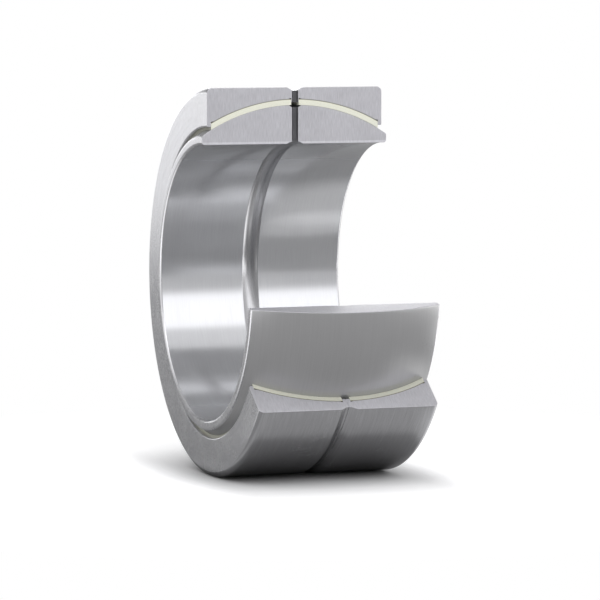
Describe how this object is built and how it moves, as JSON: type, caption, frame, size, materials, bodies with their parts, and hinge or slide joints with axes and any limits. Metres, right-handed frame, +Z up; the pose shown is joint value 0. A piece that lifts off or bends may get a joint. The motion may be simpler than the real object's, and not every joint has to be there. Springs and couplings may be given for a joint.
{
  "type": "spherical plain bearing",
  "caption": "Large radial spherical plain bearing with a split outer ring and lined recess, cut open by a sector so that its section shows.",
  "frame": {"origin": "centre of the ball, on the bearing axis at the middle plane", "axes": "+Y along the bearing axis towards the back half, +Z up, the cut-out sector open towards +X"},
  "size_m": [0.4568, 0.243, 0.48],
  "materials": {
    "inner_ring_steel": "ground bearing steel: polished ball, finely turned bore, brushed section faces",
    "outer_ring_steel": "ground bearing steel with brushed section faces",
    "sliding_liner": "matt cream sliding layer of fibre and resin"
  },
  "bodies": {
    "outer_ring": {"outer_ring_half_front": "outer_ring_steel", "outer_ring_half_back": "outer_ring_steel", "liner_front": "sliding_liner", "liner_back": "sliding_liner"},
    "inner_ring": {"inner_ring": "inner_ring_steel"}
  },
  "joints": [
    {"name": "ring_spin", "type": "hinge", "parent": "outer_ring", "child": "inner_ring", "pos_m": [0, 0, 0], "axis": [0, 1, 0], "continuous": true}
  ]
}
